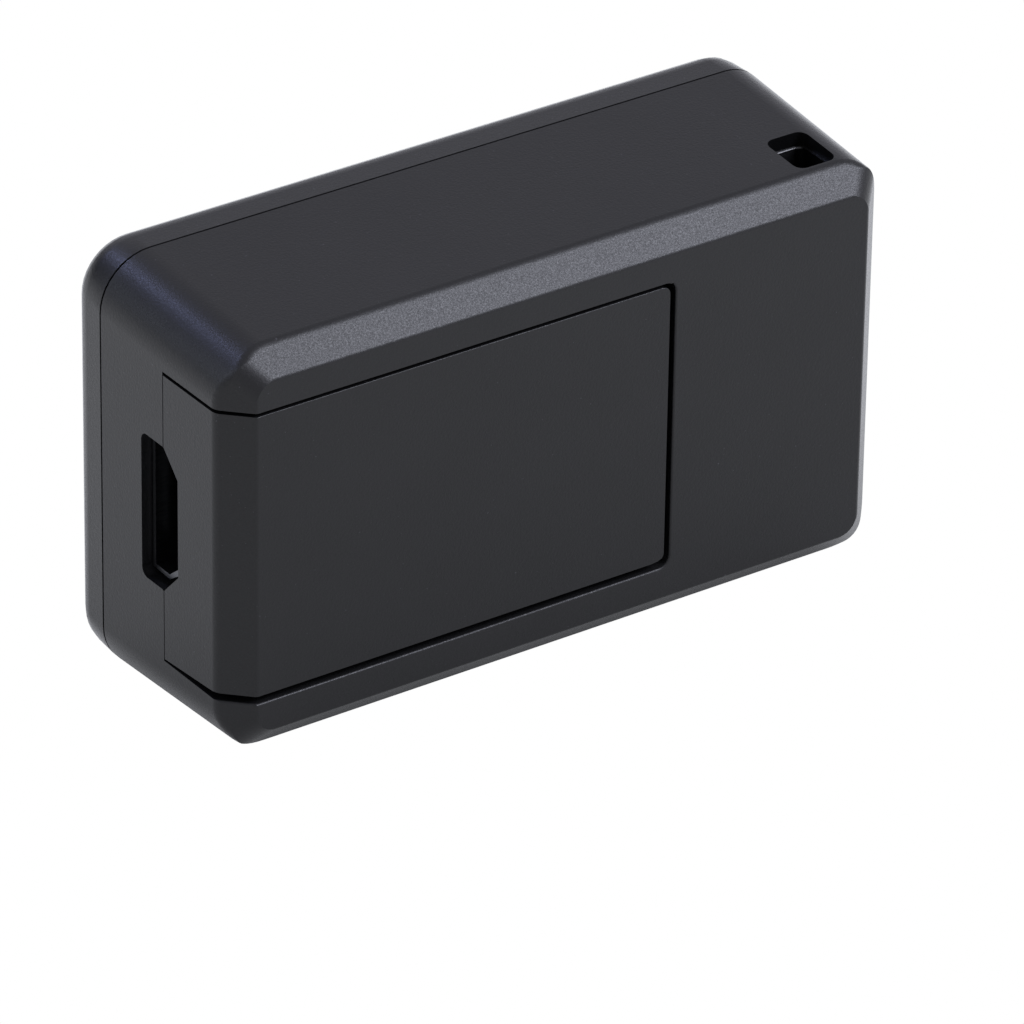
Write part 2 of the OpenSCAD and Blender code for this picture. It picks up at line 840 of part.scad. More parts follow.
// Six springs in two rows under the phone card
module sim_contacts() {
    placed()
        color("#d9b45a")
            for (x = sim_rows_x)
                for (i = [-1:1])
                    contact_spring(x, sim_z + sim_w / 2 + i * sim_pitch, contact_w, sim_y + sim_t);
}

// Memory card: thumb ridge at the near end, notch and narrow stretch on one side
module memory_card() {
    r = sd_corner_r;
    x1 = sd_x + sd_l - r;
    z1 = sd_z + sd_w - r;
    notch = sd_x + sd_notch_x;
    narrow = sd_x + sd_l - sd_taper_l;
    placed()
        color("#26262b") {
            along_y(sd_y, sd_y + sd_t)
                polygon(concat(
                    arc_points(sd_x + r, sd_z + r, r, lower_near, arc_steps),
                    [[notch, sd_z], [notch + sd_notch_d, sd_z + sd_notch_d],
                     [notch + sd_notch_l, sd_z + sd_notch_d],
                     [notch + sd_notch_l + sd_notch_out, sd_z],
                     [narrow, sd_z], [narrow + sd_taper_d, sd_z + sd_taper_d]],
                    arc_points(x1, sd_z + sd_taper_d + r, r, lower_far, arc_steps),
                    arc_points(x1, z1, r, upper_far, arc_steps),
                    arc_points(sd_x + r, z1, r, upper_near, arc_steps)));
            along_y(sd_y - sd_ridge_t, sd_y + slice)
                polygon(round_points(sd_x, sd_x + sd_ridge_l, sd_z + sd_ridge_inset,
                    sd_z + sd_w - sd_ridge_inset, sd_ridge_inset));
        }
}

// Eight springs under the memory card, bare of it by a hair
module memory_contacts() {
    placed()
        color("#d9b45a")
            for (i = [0:sd_contact_count - 1])
                contact_spring(sd_contact_x, sd_contact_z(i), sd_contact_w, sd_y + sd_t + sd_contact_gap);
}

// Steel cover over the far part of the memory card, standing on the holder's guides
module memory_socket_cover() {
    y0 = holder_y - lid_drop;
    z0 = sd_z - lid_side;
    z1 = sd_z + sd_w + lid_side;
    placed()
        color("#c9ccd0")
            along_x(door_x + hook_reach + lid_gap, boss_x - seat_gap)
                polygon([
                    [y0 - lid_sheet, z0], [holder_y, z0], [holder_y, z0 + lid_sheet],
                    [y0, z0 + lid_sheet], [y0, z1 - lid_sheet], [holder_y, z1 - lid_sheet],
                    [holder_y, z1], [y0 - lid_sheet, z1]]);
}

// Outline of the socket shell, drawn in by the sheet's thickness where needed
module usb_outline(inset) {
    w = usb_shell_w / 2 - inset;
    narrow = w * usb_narrow_share;
    y0 = board_back + inset;
    y1 = board_back + usb_shell_h - inset;
    shoulder = y0 + (y1 - y0) * usb_shoulder_share;
    polygon([
        [y0, mid_z - narrow], [shoulder, mid_z - w], [y1, mid_z - w],
        [y1, mid_z + w], [shoulder, mid_z + w], [y0, mid_z + narrow]]);
}

// Metal shell of the charging socket, soldered to the back of the board
module usb_shell() {
    placed()
        color("#cfd2d4")
            difference() {
                along_x(usb_x, usb_x + usb_shell_l)
                    usb_outline(0);
                along_x(usb_x - cut, usb_x + usb_shell_l - usb_sheet)
                    usb_outline(usb_sheet);
            }
}

// Plastic tongue of the socket with its back block
module usb_tongue() {
    back = usb_x + usb_shell_l - usb_sheet;
    placed()
        color("#141416")
            union() {
                along_x(back - tongue_back, back)
                    usb_outline(usb_sheet);
                block([tongue_x, tongue_y - tongue_t / 2, mid_z - tongue_w / 2],
                    [back - tongue_back + slice, tongue_y + tongue_t / 2, mid_z + tongue_w / 2]);
            }
}

// Five contact strips on the tongue
module usb_contacts() {
    back = usb_x + usb_shell_l - usb_sheet - tongue_back;
    y_face = tongue_y - tongue_t / 2;
    placed()
        color("#d9b45a")
            for (i = [0:pin_count - 1])
                block([tongue_x + pin_tip, y_face - pin_t,
                       mid_z + (i - (pin_count - 1) / 2) * pin_pitch - pin_w / 2],
                    [back, y_face, mid_z + (i - (pin_count - 1) / 2) * pin_pitch + pin_w / 2]);
}

// Flat pouch cell with folded side edges
module battery_cell() {
    z1 = cell_z + cell_w;
    y1 = cell_y + cell_t;
    e = cell_edge;
    f = cell_fold;
    placed()
        color("#b9bdc2")
            along_x(cell_x, cell_x + cell_l)
                polygon([
                    [cell_y + e, cell_z], [cell_y + f, cell_z + f], [cell_y, cell_z + e],
                    [cell_y, z1 - e], [cell_y + f, z1 - f], [cell_y + e, z1],
                    [y1 - e, z1], [y1 - f, z1 - f], [y1, z1 - e],
                    [y1, cell_z + e], [y1 - f, cell_z + f], [y1 - e, cell_z]]);
}

// Small guard board across the end of the cell
module battery_guard_board() {
    z0 = lead_plus_z + guard_top - guard_w;
    placed()
        color("#1f5a38")
            union() {
                block([cell_x - guard_l, guard_y, z0], [cell_x, guard_y + guard_h, z0 + guard_w]);
                for (share = guard_shares)
                    block([cell_x - guard_l - guard_part, guard_y + guard_part_inset,
                        z0 + share * guard_w],
                        [cell_x - guard_l + slice, guard_y + guard_h - guard_part_inset,
                        z0 + share * guard_w + guard_part_w]);
            }
}

// One battery lead: up from its pad on the board, round a bend and into the guard board
module battery_lead(z) {
    translate([lead_x, board_back, z])
        rotate([-90, 0, 0])
            cylinder(r = lead_r, h = lead_y - lead_bend - board_back, $fn = small_facets);
    translate([lead_x + lead_bend, lead_y - lead_bend, z])
        rotate([0, 0, 90])
            rotate_extrude(angle = quarter, $fn = round_facets)
                translate([lead_bend, 0])
                    circle(r = lead_r, $fn = small_facets);
    translate([lead_x + lead_bend, lead_y, z])
        rotate([0, 90, 0])
            cylinder(r = lead_r, h = lead_end - lead_x - lead_bend, $fn = small_facets);
}
module battery_lead_plus() {
    placed()
        color("#b3201d")
            battery_lead(lead_plus_z);
}
module battery_lead_minus() {
    placed()
        color("#161616")
            battery_lead(lead_minus_z);
}

// Tin shield over the radio parts, with a row of vent holes
module modem_shield() {
    y1 = board_back + shield_t;
    placed()
        color("#c3c6ca")
            difference() {
                block([shield_x, board_back, shield_z], [shield_x + shield_l, y1, shield_z + shield_w]);
                block([shield_x + shield_sheet, board_back - cut, shield_z + shield_sheet],
                    [shield_x + shield_l - shield_sheet, y1 - shield_sheet,
                        shield_z + shield_w - shield_sheet]);
                for (i = [-1:1])
                    for (j = [-1:1])
                        translate([shield_x + shield_l / 2 + i * shield_hole_pitch, y1 + cut,
                            shield_z + shield_w / 2 + j * shield_hole_pitch])
                            rotate([90, 0, 0])
                                cylinder(r = shield_hole_r, h = shield_sheet + cut + slice,
                                    $fn = small_facets);
            }
}

// Radio and processor chip under the shield
module modem_chip() {
    x0 = shield_x + (shield_l - modem_l) / 2;
    z0 = shield_z + (shield_w - modem_w) / 2;
    placed()
        color("#2b2b2e")
            along_y(board_back, board_back + modem_t)
                polygon([
                    [x0 + modem_cut, z0], [x0 + modem_l, z0], [x0 + modem_l, z0 + modem_w],
                    [x0, z0 + modem_w], [x0, z0 + modem_cut]]);
}

// A moulded chip with bent legs along two sides
module legged_chip(x, z, l, w, legs) {
    block([x, board_back + chip_lift, z], [x + l, board_back + chip_t, z + w]);
    for (i = [0:legs - 1])
        for (side = [z - chip_leg_l, z + w - slice])
            block([x + l * (i + half_share) / legs - chip_leg_w / 2, board_back, side],
                [x + l * (i + half_share) / legs + chip_leg_w / 2, board_back + chip_leg_t,
                    side + chip_leg_l + slice]);
}
module charger_chip() {
    placed()
        color("#242426")
            legged_chip(charger_x, charger_z, charger_l, charger_w, charger_legs);
}
module flash_chip() {
    placed()
        color("#242426")
            legged_chip(flash_x, flash_z, flash_l, flash_w, flash_legs);
}

// Clock crystal in its metal can with a narrower lid
module clock_crystal() {
    y1 = board_back + crystal_t;
    lid = crystal_lid;
    placed()
        color("#c6c2ae")
            union() {
                block([crystal_x, board_back, crystal_z],
                    [crystal_x + crystal_l, y1 - lid, crystal_z + crystal_w]);
                block([crystal_x + lid, y1 - lid - slice, crystal_z + lid],
                    [crystal_x + crystal_l - lid, y1, crystal_z + crystal_w - lid]);
            }
}

// One chip capacitor or resistor, with its raised metal ends
module chip_part(x, z, turned) {
    l = turned ? chip_part_w : chip_part_l;
    w = turned ? chip_part_l : chip_part_w;
    block([x, board_back, z], [x + l, board_back + chip_part_t, z + w]);
}

// Rows of chip parts, a choke and a tank capacitor
module small_components() {
    placed()
        color("#b79b72") {
            for (i = [0:shield_row - 1])
                chip_part(shield_x + shield_l + chip_part_w, shield_z + i * chip_row_pitch, true);
            for (i = [0:charger_row - 1])
                chip_part(charger_x + i * chip_part_pitch, charger_z + charger_w + chip_part_pitch, false);
            for (i = [0:crystal_row - 1])
                chip_part(crystal_x + i * chip_part_pitch, crystal_z + crystal_w + chip_part_w, true);
            for (i = [0:coil_row - 1])
                chip_part(flash_x + i * chip_part_pitch, coil_z + coil_l + chip_part_pitch, false);
            block([coil_x, board_back, coil_z], [coil_x + coil_l, board_back + coil_t, coil_z + coil_l]);
            block([tank_x, board_back, tank_z], [tank_x + tank_l, board_back + tank_t, tank_z + tank_w]);
        }
}

// Microphone capsule: crimped can, sound port and felt
module microphone() {
    placed()
        color("#b8bcc0")
            translate([mic_x, board_back, mic_z])
                rotate([-90, 0, 0])
                    difference() {
                        cylinder(d = mic_d, h = mic_t, $fn = round_facets);
                        translate([0, 0, mic_t - mic_felt])
                            cylinder(d = mic_d - mic_rim - mic_rim, h = mic_felt + cut,
                                $fn = round_facets);
                        translate([0, 0, mic_t / 2])
                            cylinder(r = mic_port_r, h = mic_t, $fn = small_facets);
                    }
}

// Ceramic chip antenna for the satellite receiver, with a feed pad at each end
module satellite_antenna() {
    y1 = board_back + satellite_t;
    z1 = satellite_z + satellite_w;
    placed()
        color("#e9e4d8") {
            block([satellite_x, board_back, satellite_z], [satellite_x + satellite_l, y1, z1]);
            for (z = [satellite_z - feed_w, z1 - slice])
                block([satellite_x, board_back, z],
                    [satellite_x + satellite_l, board_back + feed_t, z + feed_w + slice]);
        }
}

// Phone antenna: a folded track on film, stuck inside the strap end wall
module phone_antenna() {
    x1 = inner_far;
    top = antenna_z_high - antenna_track;
    placed()
        color("#c98d4a")
            along_x(x1 - antenna_t, x1)
                union() {
                    translate([antenna_y, antenna_z_low])
                        square([antenna_track, antenna_z_high - antenna_z_low]);
                    for (i = [0:antenna_turns - 1])
                        translate([antenna_y, top - i * antenna_pitch])
                            square([antenna_depth, antenna_track]);
                    for (i = [0:antenna_turns - 2])
                        translate([antenna_y + antenna_depth - antenna_track,
                            top - (i + 1) * antenna_pitch])
                            square([antenna_track, i % 2 == 0 ? antenna_pitch : antenna_track]);
                }
}

// Spring that joins the phone antenna to the board
module antenna_spring() {
    x0 = board_far - spring_foot;
    x1 = inner_far - antenna_t;
    y0 = board_back;
    y1 = antenna_y + antenna_track;
    t = spring_t;
    placed()
        color("#d9b45a")
            along_z(spring_z, spring_z + spring_w)
                polygon([
                    [x0, y0], [board_far - t, y0], [board_far - t, y0 + t],
                    [x1 - t, y1 - t - t], [x1, y1 - t - spring_curl], [x1, y1 - t], [x1 - t, y1],
                    [x1 - t - t, y1 - t], [board_far - t - t, y0 + t + t], [x0, y0 + t]]);
}

// Two magnet discs in the rings of the back plate
module magnets() {
    y1 = body_t - plate_floor;
    placed()
        color("#a9adb2")
            for (side = [-1, 1])
                magnet_at(side)
                    along_y(y1 - magnet_t, y1)
                        circle(d = magnet_d, $fn = round_facets);
}

// Tape over the magnets that keeps them in their rings
module magnet_tape() {
    y1 = body_t - plate_floor - magnet_t;
    placed()
        color("#c8a15a")
            along_y(y1 - tape_t, y1)
                polygon(round_points(magnet_mid_x - magnet_pitch / 2 - tape_end,
                    magnet_mid_x + magnet_pitch / 2 + tape_end, mid_z - tape_w / 2,
                    mid_z + tape_w / 2, tape_r));
}

// Foam pad between the cell and the back plate
module battery_pad() {
    placed()
        color("#3a3a3c")
            along_y(cell_y + cell_t, cell_y + cell_t + pad_t)
                polygon(round_points(cell_x + pad_inset, cell_x + cell_l - pad_inset,
                    cell_z + pad_inset, cell_z + cell_w - pad_inset, pad_inset));
}

// Insulating sheet between the tin shield and the cell
module insulation_sheet() {
    placed()
        color("#d8b23c")
            block([shield_x - sheet_over_x, cell_y - sheet_t, shield_z - sheet_over_z],
                [shield_x + shield_l + sheet_over_x, cell_y, shield_z + shield_w + sheet_over_z]);
}

main_shell();
back_plate();
bay_cover();
circuit_board();
card_holder();
sim_card();
sim_contacts();
memory_card();
memory_contacts();
memory_socket_cover();
usb_shell();
usb_tongue();
usb_contacts();
battery_cell();
battery_guard_board();
battery_lead_plus();
battery_lead_minus();
modem_shield();
modem_chip();
charger_chip();
flash_chip();
clock_crystal();
small_components();
microphone();
satellite_antenna();
phone_antenna();
antenna_spring();
magnets();
magnet_tape();
battery_pad();
insulation_sheet();
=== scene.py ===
"""A pocket gps tracker: black moulded box with a sliding card door, charging socket and magnet back.

Every length is in metres, in the part's own frame: +X from the socket end to the strap end,
+Y from the card door to the magnet face, +Z up from the long side that it stands on.
"""

import json
import math

import bmesh
import bpy
from mathutils import Matrix, Vector


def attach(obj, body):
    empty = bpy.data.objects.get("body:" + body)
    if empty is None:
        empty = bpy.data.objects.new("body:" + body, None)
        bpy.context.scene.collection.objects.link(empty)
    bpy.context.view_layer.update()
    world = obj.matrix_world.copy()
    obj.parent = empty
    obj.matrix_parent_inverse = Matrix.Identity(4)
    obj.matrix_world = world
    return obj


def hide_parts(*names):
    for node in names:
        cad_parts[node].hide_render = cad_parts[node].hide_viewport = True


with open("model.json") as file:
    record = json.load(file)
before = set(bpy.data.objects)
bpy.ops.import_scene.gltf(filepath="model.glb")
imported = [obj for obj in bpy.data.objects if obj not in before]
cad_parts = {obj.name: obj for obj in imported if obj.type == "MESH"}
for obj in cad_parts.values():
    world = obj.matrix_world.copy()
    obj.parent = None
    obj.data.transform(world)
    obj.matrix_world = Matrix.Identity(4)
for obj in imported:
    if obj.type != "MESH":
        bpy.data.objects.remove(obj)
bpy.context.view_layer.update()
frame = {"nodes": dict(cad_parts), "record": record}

MM = 0.001
NODES = frame["nodes"]
MOUNTS = {mount["name"]: mount["pos_m"] for mount in frame["record"]["mounts"]}

# Roundings that the tool leaves on the moulded edges, as radii in millimetres
MITRE_ROUND = 1.8
SHOULDER_ROUND = 0.8
FAR_SHOULDER_ROUND = 0.6
FOOT_ROUND = 0.4
FRONT_ROUND = 0.35
LOW_FRONT_ROUND = 0.2
DOOR_RIM_ROUND = 0.07

# How far the sharp edges of the card bay's mouth are broken, in millimetres
MOUTH_BREAK = 0.12

# The part of the strap slot whose walls get painted shade, as half sizes round its middle
STRAP_DEPTH = 1.6 * MM
STRAP_HALF = (1.6 * MM, 2.0 * MM, STRAP_DEPTH)

# Tolerances: of one point, of a cut, of one plane, of what may stand in front of an outer face,
# and of a corner that a cut left beside another
WELD = 0.0005 * MM
CUT = 0.0002 * MM
SAME_PLANE = 0.002 * MM
FLUSH = 0.02 * MM
SNAP = 0.08 * MM

# A face narrower than this is a strip of a curve, and a wider one is flat
STRIP_WIDTH = 1.2 * MM

# Angles between faces: of one flat, of one direction, of an edge worth rounding, of a sharp edge
FLAT_ANGLE = math.radians(0.3)
SAME_ANGLE = math.radians(0.5)
EDGE_ANGLE = math.radians(12)
SHARP_ANGLE = math.radians(30)

# Half the width of the paper that the tracker stands on
SWEEP_HALF = 1.5

# A direction along which no two points lie level, for a fixed order of points and faces
ORDER_WAY = Vector((0.61, 0.37, 0.7))


# Materials


def linear(code):
    """An sRGB hex colour as the linear values that a shader takes."""
    values = []
    for start in (1, 3, 5):
        share = int(code[start:start + 2], 16) / 255
        values.append(share / 12.92 if share <= 0.04045 else ((share + 0.055) / 1.055) ** 2.4)
    return (*values, 1.0)


def add(tree, kind, settings=None, **links):
    """Adds a node with its settings, its input values and its links. Where inputs share a name,
    i and a number stands for the input at that place."""
    node = tree.nodes.new(kind)
    for name, value in (settings or {}).items():
        if hasattr(node, name):
            setattr(node, name, value)
        else:
            node.inputs[name].default_value = value
    for name, source in links.items():
        socket = node.inputs[int(name[1:])] if name[0] == "i" and name[1:].isdigit() else node.inputs[name]
        if hasattr(source, "is_output"):
            tree.links.new(source, socket)
        else:
            socket.default_value = source
    return node


def new_material(name, colour, roughness, metallic=0.0, ior=1.5):
    """A material with one main shader. Returns it with its tree, shader and object coordinates."""
    material = bpy.data.materials.new(name)
    material.use_nodes = True
    tree = material.node_tree
    shader = tree.nodes["Principled BSDF"]
    shader.inputs["Base Color"].default_value = linear(colour)
    shader.inputs["Roughness"].default_value = roughness
    shader.inputs["Metallic"].default_value = metallic
    shader.inputs["IOR"].default_value = ior
    place = add(tree, "ShaderNodeTexCoord").outputs["Object"]
    return material, tree, shader, place


def noise(tree, place, size_mm, detail=2.0, rough=0.5):
    """Soft random grain whose lumps are about size_mm across."""
    settings = {"Scale": 1.0 / (size_mm * MM), "Detail": detail, "Roughness": rough}
    return add(tree, "ShaderNodeTexNoise", settings, Vector=place).outputs["Fac"]


def product(tree, one, two):
    """One value times another."""
    return add(tree, "ShaderNodeMath", {"operation": "MULTIPLY"}, i0=one, i1=two).outputs["Value"]


def ramp(tree, fac, low, high, first="#000000", last="#ffffff"):
    """Fades from one colour to another between two values."""
    node = add(tree, "ShaderNodeValToRGB", Fac=fac)
    node.color_ramp.elements[0].position = low
    node.color_ramp.elements[0].color = linear(first)
    node.color_ramp.elements[1].position = high
    node.color_ramp.elements[1].color = linear(last)
    return node.outputs["Color"]


def spread(tree, value, source, target):
    """Stretches a value from one range, a low and a high end, to another."""
    settings = {"From Min": source[0], "From Max": source[1], "To Min": target[0], "To Max": target[1]}
    return add(tree, "ShaderNodeMapRange", settings, Value=value).outputs["Result"]


def bump(tree, shader, height, depth_mm):
    """Raises the surface by a pattern whose full height is depth_mm."""
    node = add(tree, "ShaderNodeBump", {"Distance": depth_mm * MM}, Height=height)
    tree.links.new(node.outputs["Normal"], shader.inputs["Normal"])


def moulded_black_abs(name, dark, light, roughness):
    """ABS moulded in a spark eroded tool: a fine even grain that breaks up the gloss, with faint
    cloudy changes of tone and a few pale specks of dust caught in the grain."""
    material, tree, shader, place = new_material(name, dark, roughness, ior=1.42)
    cloud = noise(tree, place, size_mm=6.0, detail=3.0)
    tone = ramp(tree, cloud, 0.3, 0.7, dark, light)
    speck = ramp(tree, noise(tree, place, size_mm=0.16, detail=1.0), 0.74, 0.82)
    dust = product(tree, speck, 0.12)
    mixed = add(tree, "ShaderNodeMix", {"data_type": "RGBA"}, i0=dust, i6=tone, i7=linear("#9a9aa2"))
    tree.links.new(mixed.outputs[2], shader.inputs["Base Color"])
    # Single facets of the grain glint a little more or less than their neighbours
    facets = noise(tree, place, size_mm=0.07, detail=1.0)
    glint = spread(tree, facets, (0.3, 0.7), (roughness - 0.08, roughness + 0.08))
    # Fine texture looks glossier where the eye skims along it
    facing = add(tree, "ShaderNodeLayerWeight", {"Blend": 0.5}).outputs["Facing"]
    skim = spread(tree, facing, (0.25, 1.0), (1.0, 0.3))
    tree.links.new(product(tree, glint, skim), shader.inputs["Roughness"])
    # The real grain is nearer 0.05 mm across, and is drawn coarser so that it shows
    bump(tree, shader, noise(tree, place, size_mm=0.14, rough=0.6), depth_mm=0.012)
    return material


def smooth_plastic(name, dark, light, roughness):
    """Plastic from a polished tool: a tone that drifts slowly, with a faint ripple in its gloss."""
    material, tree, shader, place = new_material(name, dark, roughness)
    drift = noise(tree, place, size_mm=2.5)
    tree.links.new(ramp(tree, drift, 0.3, 0.7, dark, light), shader.inputs["Base Color"])
    bump(tree, shader, noise(tree, place, size_mm=0.3), depth_mm=0.002)
    return material


def streaked_metal(name, dark, light, roughness, streak_mm):
    """Rolled, drawn or ground metal, plated or bare: fine streaks along X stretch its reflections."""
    material, tree, shader, place = new_material(name, dark, roughness, metallic=1.0)
    stretched = add(tree, "ShaderNodeMapping", {"Scale": (0.12, 1.0, 1.0)}, Vector=place)
    streaks = noise(tree, stretched.outputs["Vector"], streak_mm, detail=3.0, rough=0.6)
    tree.links.new(ramp(tree, streaks, 0.35, 0.65, dark, light), shader.inputs["Base Color"])
    gloss = spread(tree, streaks, (0.0, 1.0), (roughness - 0.06, roughness + 0.1))
    tree.links.new(gloss, shader.inputs["Roughness"])
    bump(tree, shader, streaks, depth_mm=0.002)
    return material


def solder_resist():
    """Green resist printed over a woven glass board: the weave shows as a faint 0.4 mm grid."""
    material, tree, shader, place = new_material("solder_resist_on_glass_fibre", "#1d5636", 0.32)
    thread_mm = 0.4
    # A wave texture of scale 1 has about one band in 0.314 of a unit
    scale = 0.314 / (thread_mm * MM)
    threads = []
    for axis in ("X", "Z"):
        settings = {"wave_type": "BANDS", "bands_direction": axis, "Scale": scale}
        threads.append(add(tree, "ShaderNodeTexWave", settings, Vector=place).outputs["Fac"])
    weave = product(tree, *threads)
    tree.links.new(ramp(tree, weave, 0.0, 1.0, "#174a2e", "#246a42"), shader.inputs["Base Color"])
    bump(tree, shader, weave, depth_mm=0.004)
    return material


def laminated_foil():
    """Laminated pouch foil: soft silver with shallow wrinkles from the vacuum seal."""
    material, tree, shader, place = new_material("laminated_pouch_foil", "#b6bac0", 0.36, metallic=0.85)
    wrinkle = noise(tree, place, size_mm=3.0, detail=4.0, rough=0.55)
    tree.links.new(ramp(tree, wrinkle, 0.3, 0.7, "#a4a8ae", "#c6cad0"), shader.inputs["Base Color"])
    bump(tree, shader, wrinkle, depth_mm=0.08)
    return material


def closed_cell_foam():
    """Closed cell foam: matte, with cells of about a quarter of a millimetre."""
    material, tree, shader, place = new_material("closed_cell_foam", "#353537", 0.92)
    cell_mm = 0.25
    settings = {"Scale": 1.0 / (cell_mm * MM)}
    cells = add(tree, "ShaderNodeTexVoronoi", settings, Vector=place).outputs["Distance"]
    tree.links.new(ramp(tree, cells, 0.0, 0.7, "#232325", "#434346"), shader.inputs["Base Color"])
    bump(tree, shader, cells, depth_mm=0.05)
    return material


def fired_ceramic(name, dark, light):
    """Pressed and fired ceramic: chalky, with a grain of about 0.08 mm."""
    material, tree, shader, place = new_material(name, dark, 0.6)
    grain = noise(tree, place, size_mm=0.08)
    tree.links.new(ramp(tree, grain, 0.3, 0.7, dark, light), shader.inputs["Base Color"])
    bump(tree, shader, grain, depth_mm=0.004)
    return material


# The outer mouldings share one texture and differ a little in tone, as separate shots do
HOUSING = moulded_black_abs("spark_textured_black_abs_housing", "#111112", "#141415", roughness=0.46)
DOOR = moulded_black_abs("spark_textured_black_abs_door", "#101011", "#131314", roughness=0.46)
BACK = moulded_black_abs("spark_textured_black_abs_back", "#121213", "#151516", roughness=0.46)
# The strap slot's walls get a smoother finish, and their darker colour is painted shade where little light
# reaches into the slot
SLOT_WALL_PAINTED_SHADE = smooth_plastic("slot_wall_black_abs_painted_shade", "#060607", "#09090a", roughness=0.32)
HOLDER = smooth_plastic("satin_black_nylon_holder", "#19191b", "#1e1e20", roughness=0.42)
TONGUE = smooth_plastic("black_liquid_crystal_polymer", "#101012", "#161618", roughness=0.45)
CARD_WHITE = smooth_plastic("satin_white_card_abs", "#e6e9ea", "#eef0f1", roughness=0.38)
CARD_BLACK = smooth_plastic("satin_black_card_epoxy", "#222226", "#28282c", roughness=0.4)
CHIP = smooth_plastic("moulded_epoxy_chip", "#1c1c1f", "#232326", roughness=0.55)
LEAD_RED = smooth_plastic("red_silicone_lead", "#a31b17", "#b3241f", roughness=0.5)
LEAD_BLACK = smooth_plastic("black_silicone_lead", "#121213", "#18181a", roughness=0.5)
TAPE = smooth_plastic("amber_polyimide_tape", "#b88233", "#c8923e", roughness=0.25)
SHEET = smooth_plastic("yellow_fish_paper", "#c9a63a", "#d6b44a", roughness=0.6)
GOLD = streaked_metal("gold_plated_spring_bronze", "#c99b45", "#dcb463", roughness=0.28, streak_mm=0.15)
TIN = streaked_metal("tin_plated_rolled_sheet", "#a9acb0", "#bfc2c6", roughness=0.32, streak_mm=0.12)
# The socket's nickel is coloured much darker than bare nickel, as painted shade inside the socket opening
SOCKET_PAINTED_SHADE = streaked_metal("nickel_sheet_darkened_painted_shade", "#5a5b5e", "#6a6b6e", roughness=0.3, streak_mm=0.1)
CAN = streaked_metal("lapped_crystal_can", "#b3ab93", "#c8c1a9", roughness=0.3, streak_mm=0.1)
MICROPHONE_CAN = streaked_metal("drawn_aluminium_can", "#a6aaae", "#babec2", roughness=0.35, streak_mm=0.1)
MAGNET = streaked_metal("nickel_plated_sintered_magnet", "#9b9fa4", "#b4b8bc", roughness=0.2, streak_mm=0.3)
COPPER = streaked_metal("etched_copper_on_film", "#b8743a", "#cf8a4c", roughness=0.34, streak_mm=0.12)
RESIST = solder_resist()
FOIL = laminated_foil()
FOAM = closed_cell_foam()
PART_CERAMIC = fired_ceramic("fired_tan_capacitor_ceramic", "#a98a5f", "#bd9d70")
ANTENNA_CERAMIC = fired_ceramic("fired_white_antenna_ceramic", "#d9d3c6", "#e9e4d8")

FINISHES = {
    "circuit_board": RESIST,
    "battery_guard_board": RESIST,
    "card_holder": HOLDER,
    "sim_card": CARD_WHITE,
    "memory_card": CARD_BLACK,
    "sim_contacts": GOLD,
    "memory_contacts": GOLD,
    "usb_contacts": GOLD,
    "antenna_spring": GOLD,
    "memory_socket_cover": TIN,
    "modem_shield": TIN,
    "usb_shell": SOCKET_PAINTED_SHADE,
    "usb_tongue": TONGUE,
    "battery_cell": FOIL,
    "battery_lead_plus": LEAD_RED,
    "battery_lead_minus": LEAD_BLACK,
    "modem_chip": CHIP,
    "charger_chip": CHIP,
    "flash_chip": CHIP,
    "clock_crystal": CAN,
    "small_components": PART_CERAMIC,
    "microphone": MICROPHONE_CAN,
    "satellite_antenna": ANTENNA_CERAMIC,
    "phone_antenna": COPPER,
    "magnets": MAGNET,
    "magnet_tape": TAPE,
    "battery_pad": FOAM,
    "insulation_sheet": SHEET,
    "main_shell": HOUSING,
    "back_plate": BACK,
    "bay_cover": DOOR,
}


# Pieces


def paint(piece, material):
    """Gives a piece one finish."""
    piece.data.materials.clear()
    piece.data.materials.append(material)


def chamfer(face, way=0):
    """Whether a face is one of the slanted front chamfers, or with a way of -1 or 1 that end's."""
    return 0.5 < -face.normal.y < 0.9 and (way == 0 or face.normal.x * way > 0.5)


def front(face):
    """Whether a face looks straight to the front."""
    return face.normal.y < -0.99


def downward(face):
    """Whether a face looks well down."""
    return face.normal.z < -0.3


def housing_radius(pair):
    """Radius in mm of the rounding on an outer edge of the housing, given its two faces."""
    slanted = [face for face in pair if chamfer(face)]
    if not slanted:
        return 0.0
    if len(slanted) == 2:
        return MITRE_ROUND
    if any(front(face) for face in pair):
        return LOW_FRONT_ROUND if downward(slanted[0]) else FRONT_ROUND
    if chamfer(slanted[0], way=1):
        return FAR_SHOULDER_ROUND
    return FOOT_ROUND if downward(slanted[0]) else SHOULDER_ROUND


def door_radius(pair):
    """Radius in mm of the rounding round the card door: only where its face meets its sides."""
    faced = [front(face) for face in pair]
    meets_side = any(faced) and not all(faced) and not any(chamfer(face) for face in pair)
    return DOOR_RIM_ROUND if meets_side else 0.0


def merged(node):
    """A copy of a node's triangles as one closed mesh."""
    bm = bmesh.new()
    bm.from_mesh(NODES[node].data)
    bmesh.ops.remove_doubles(bm, verts=bm.verts, dist=WELD)
    return bm


def join_flats(bm):
    """Makes one face of neighbours that lie in one flat."""
    bmesh.ops.dissolve_limit(bm, angle_limit=FLAT_ANGLE, verts=bm.verts, edges=bm.edges)


def outer_faces(bm):
    """The faces that nothing of the piece stands in front of."""
    outer = set()
    for face in bm.faces:
        middle = face.calc_center_median()
        if all((vert.co - middle).dot(face.normal) < FLUSH for vert in bm.verts):
            outer.add(face)
    return outer


